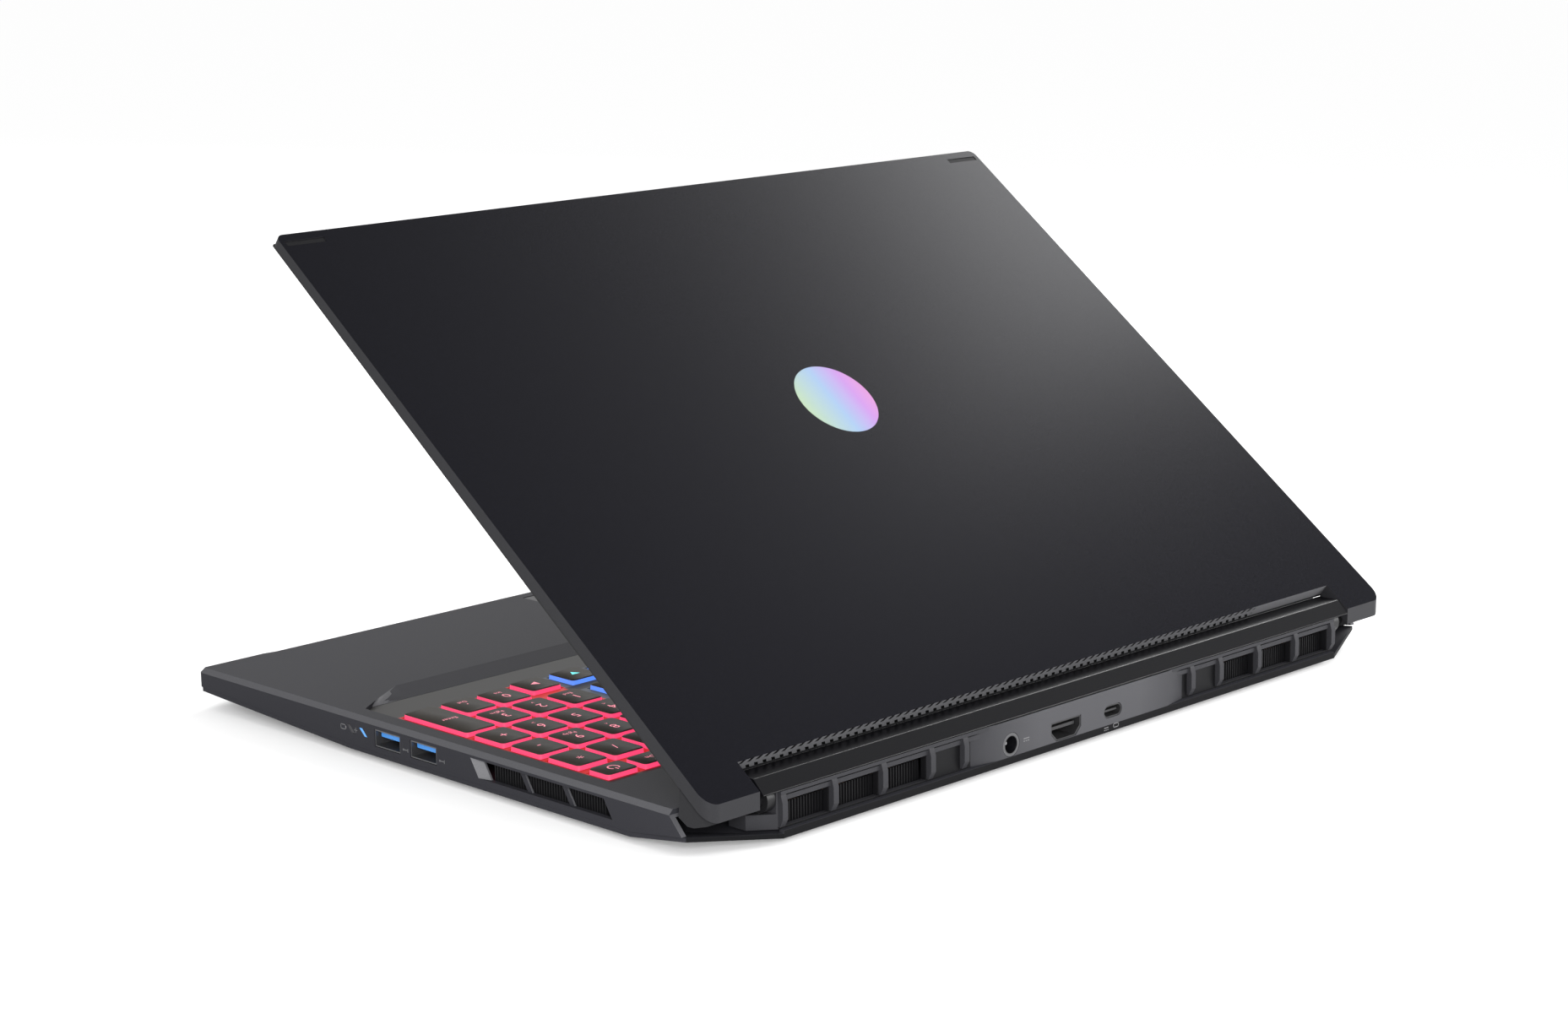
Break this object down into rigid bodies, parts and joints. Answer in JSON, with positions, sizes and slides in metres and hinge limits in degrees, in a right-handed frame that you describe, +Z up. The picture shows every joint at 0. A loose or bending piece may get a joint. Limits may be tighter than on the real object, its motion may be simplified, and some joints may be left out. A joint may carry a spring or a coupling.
{
  "type": "laptop computer",
  "caption": "Gaming laptop with a friction-hinged lid, sunken keyboard with number pad, clicking touchpad, ribbed rear exhaust bar and side vents.",
  "frame": {"origin": "centre of the plan rectangle, on the surface under the feet", "axes": "+X to the user's right, +Y to the rear, +Z up"},
  "size_m": [0.357, 0.2726, 0.179],
  "materials": {
    "deck_paint": "satin",
    "cover_plastic": "matte",
    "bar_plastic": "matte",
    "hump_plastic": "satin",
    "lid_paint": "matte",
    "ear_plastic": "matte",
    "bezel_plastic": "matte",
    "screen_glass": "gloss",
    "lens_glass": "gloss",
    "key_plastic": "matte",
    "pad_glass": "satin",
    "hinge_steel": "satin",
    "socket_steel": "satin",
    "socket_plastic": "matte",
    "rubber": "matte",
    "screw_steel": "satin",
    "light_lens": "gloss",
    "trim_plastic": "matte",
    "emblem_plastic": "gloss",
    "fin_aluminium": "satin",
    "pipe_copper": "satin",
    "fan_plastic": "matte",
    "board_laminate": "matte",
    "chip_plastic": "satin",
    "cell_wrap": "matte",
    "speaker_plastic": "matte",
    "plate_steel": "satin"
  },
  "bodies": {
    "base": {"audio_socket": "socket_plastic", "battery_pack": "cell_wrap", "bottom_cover": "cover_plastic", "bottom_screws": "screw_steel", "fan_housing_left": "fan_plastic", "fan_housing_right": "fan_plastic", "fin_stacks": "fin_aluminium", "heat_pipes": "pipe_copper", "hinge_brackets": "hinge_steel", "hinge_hump": "hump_plastic", "keyboard_frame": "deck_paint", "keyboard_plate": "plate_steel", "mainboard": "board_laminate", "memory_modules": "board_laminate", "network_socket": "socket_plastic", "power_inlet": "socket_plastic", "processors": "chip_plastic", "rear_grille": "bar_plastic", "rubber_feet": "rubber", "speakers": "speaker_plastic", "status_lights": "light_lens", "storage_drive": "board_laminate", "top_deck": "deck_paint", "usb_a_sockets": "socket_steel", "usb_c_socket": "socket_steel", "video_socket": "socket_steel", "wireless_card": "board_laminate"},
    "lid": {"lid_cover": "lid_paint", "display_bezel": "bezel_plastic", "display_panel": "screen_glass", "webcam": "lens_glass", "hinge_arms": "hinge_steel", "ear_covers": "ear_plastic", "antenna_covers": "trim_plastic", "lid_bumpers": "rubber", "lid_emblem": "emblem_plastic"},
    "touchpad_plate": {"touchpad": "pad_glass"},
    "rotor_right": {"fan_rotor_right": "fan_plastic"},
    "rotor_left": {"fan_rotor_left": "fan_plastic"},
    "function_row_keys_travel": {"function_row_keys": "key_plastic"},
    "power_key_travel": {"power_key": "key_plastic"},
    "number_row_keys_travel": {"number_row_keys": "key_plastic"},
    "upper_row_keys_travel": {"upper_row_keys": "key_plastic"},
    "home_row_keys_travel": {"home_row_keys": "key_plastic"},
    "lower_row_keys_travel": {"lower_row_keys": "key_plastic"},
    "front_row_keys_travel": {"front_row_keys": "key_plastic"},
    "space_bar_travel": {"space_bar": "key_plastic"},
    "arrow_up_key_travel": {"arrow_up_key": "key_plastic"},
    "arrow_right_key_travel": {"arrow_right_key": "key_plastic"},
    "arrow_down_key_travel": {"arrow_down_key": "key_plastic"},
    "arrow_left_key_travel": {"arrow_left_key": "key_plastic"},
    "pad_top_keys_travel": {"pad_top_keys": "key_plastic"},
    "pad_seven_to_nine_keys_travel": {"pad_seven_to_nine_keys": "key_plastic"},
    "pad_four_to_six_keys_travel": {"pad_four_to_six_keys": "key_plastic"},
    "pad_one_to_three_keys_travel": {"pad_one_to_three_keys": "key_plastic"},
    "pad_zero_keys_travel": {"pad_zero_keys": "key_plastic"},
    "pad_minus_key_travel": {"pad_minus_key": "key_plastic"},
    "pad_plus_key_travel": {"pad_plus_key": "key_plastic"},
    "pad_enter_key_travel": {"pad_enter_key": "key_plastic"}
  },
  "joints": [
    {"name": "lid_hinge", "type": "hinge", "parent": "base", "child": "lid", "pos_m": [0, 0.13025, 0.015], "axis": [-1, 0, 0], "range_deg": [-37.4, 97.5]},
    {"name": "touchpad_click", "type": "hinge", "parent": "base", "child": "touchpad_plate", "pos_m": [-0.0344, -0.06425, 0.0144], "axis": [1, 0, 0], "range_deg": [0, 0.5], "stiffness_Nm_per_rad": 12, "springref_deg": -0.57},
    {"name": "fan_spin_right", "type": "hinge", "parent": "base", "child": "rotor_right", "pos_m": [0.106, 0.0808, 0.0062], "axis": [0, 0, 1], "continuous": true},
    {"name": "fan_spin_left", "type": "hinge", "parent": "base", "child": "rotor_left", "pos_m": [-0.106, 0.0808, 0.0062], "axis": [0, 0, 1], "continuous": true},
    {"name": "function_row_keys_press", "type": "slide", "parent": "base", "child": "function_row_keys_travel", "axis": [0, 0, -1], "range_m": [0, 0.0013], "stiffness_N_per_m": 6650, "springref_m": -0.0008},
    {"name": "power_key_press", "type": "slide", "parent": "base", "child": "power_key_travel", "axis": [0, 0, -1], "range_m": [0, 0.0013], "stiffness_N_per_m": 350, "springref_m": -0.0008},
    {"name": "number_row_keys_press", "type": "slide", "parent": "base", "child": "number_row_keys_travel", "axis": [0, 0, -1], "range_m": [0, 0.0013], "stiffness_N_per_m": 4900, "springref_m": -0.0008},
    {"name": "upper_row_keys_press", "type": "slide", "parent": "base", "child": "upper_row_keys_travel", "axis": [0, 0, -1], "range_m": [0, 0.0013], "stiffness_N_per_m": 4900, "springref_m": -0.0008},
    {"name": "home_row_keys_press", "type": "slide", "parent": "base", "child": "home_row_keys_travel", "axis": [0, 0, -1], "range_m": [0, 0.0013], "stiffness_N_per_m": 4550, "springref_m": -0.0008},
    {"name": "lower_row_keys_press", "type": "slide", "parent": "base", "child": "lower_row_keys_travel", "axis": [0, 0, -1], "range_m": [0, 0.0013], "stiffness_N_per_m": 4200, "springref_m": -0.0008},
    {"name": "front_row_keys_press", "type": "slide", "parent": "base", "child": "front_row_keys_travel", "axis": [0, 0, -1], "range_m": [0, 0.0013], "stiffness_N_per_m": 2100, "springref_m": -0.0008},
    {"name": "space_bar_press", "type": "slide", "parent": "base", "child": "space_bar_travel", "axis": [0, 0, -1], "range_m": [0, 0.0013], "stiffness_N_per_m": 350, "springref_m": -0.0008},
    {"name": "arrow_up_key_press", "type": "slide", "parent": "base", "child": "arrow_up_key_travel", "axis": [0, 0, -1], "range_m": [0, 0.0013], "stiffness_N_per_m": 350, "springref_m": -0.0008},
    {"name": "arrow_right_key_press", "type": "slide", "parent": "base", "child": "arrow_right_key_travel", "axis": [0, 0, -1], "range_m": [0, 0.0013], "stiffness_N_per_m": 350, "springref_m": -0.0008},
    {"name": "arrow_down_key_press", "type": "slide", "parent": "base", "child": "arrow_down_key_travel", "axis": [0, 0, -1], "range_m": [0, 0.0013], "stiffness_N_per_m": 350, "springref_m": -0.0008},
    {"name": "arrow_left_key_press", "type": "slide", "parent": "base", "child": "arrow_left_key_travel", "axis": [0, 0, -1], "range_m": [0, 0.0013], "stiffness_N_per_m": 350, "springref_m": -0.0008},
    {"name": "pad_top_keys_press", "type": "slide", "parent": "base", "child": "pad_top_keys_travel", "axis": [0, 0, -1], "range_m": [0, 0.0013], "stiffness_N_per_m": 1400, "springref_m": -0.0008},
    {"name": "pad_seven_to_nine_keys_press", "type": "slide", "parent": "base", "child": "pad_seven_to_nine_keys_travel", "axis": [0, 0, -1], "range_m": [0, 0.0013], "stiffness_N_per_m": 1050, "springref_m": -0.0008},
    {"name": "pad_four_to_six_keys_press", "type": "slide", "parent": "base", "child": "pad_four_to_six_keys_travel", "axis": [0, 0, -1], "range_m": [0, 0.0013], "stiffness_N_per_m": 1050, "springref_m": -0.0008},
    {"name": "pad_one_to_three_keys_press", "type": "slide", "parent": "base", "child": "pad_one_to_three_keys_travel", "axis": [0, 0, -1], "range_m": [0, 0.0013], "stiffness_N_per_m": 1050, "springref_m": -0.0008},
    {"name": "pad_zero_keys_press", "type": "slide", "parent": "base", "child": "pad_zero_keys_travel", "axis": [0, 0, -1], "range_m": [0, 0.0013], "stiffness_N_per_m": 700, "springref_m": -0.0008},
    {"name": "pad_minus_key_press", "type": "slide", "parent": "base", "child": "pad_minus_key_travel", "axis": [0, 0, -1], "range_m": [0, 0.0013], "stiffness_N_per_m": 350, "springref_m": -0.0008},
    {"name": "pad_plus_key_press", "type": "slide", "parent": "base", "child": "pad_plus_key_travel", "axis": [0, 0, -1], "range_m": [0, 0.0013], "stiffness_N_per_m": 350, "springref_m": -0.0008},
    {"name": "pad_enter_key_press", "type": "slide", "parent": "base", "child": "pad_enter_key_travel", "axis": [0, 0, -1], "range_m": [0, 0.0013], "stiffness_N_per_m": 350, "springref_m": -0.0008}
  ]
}
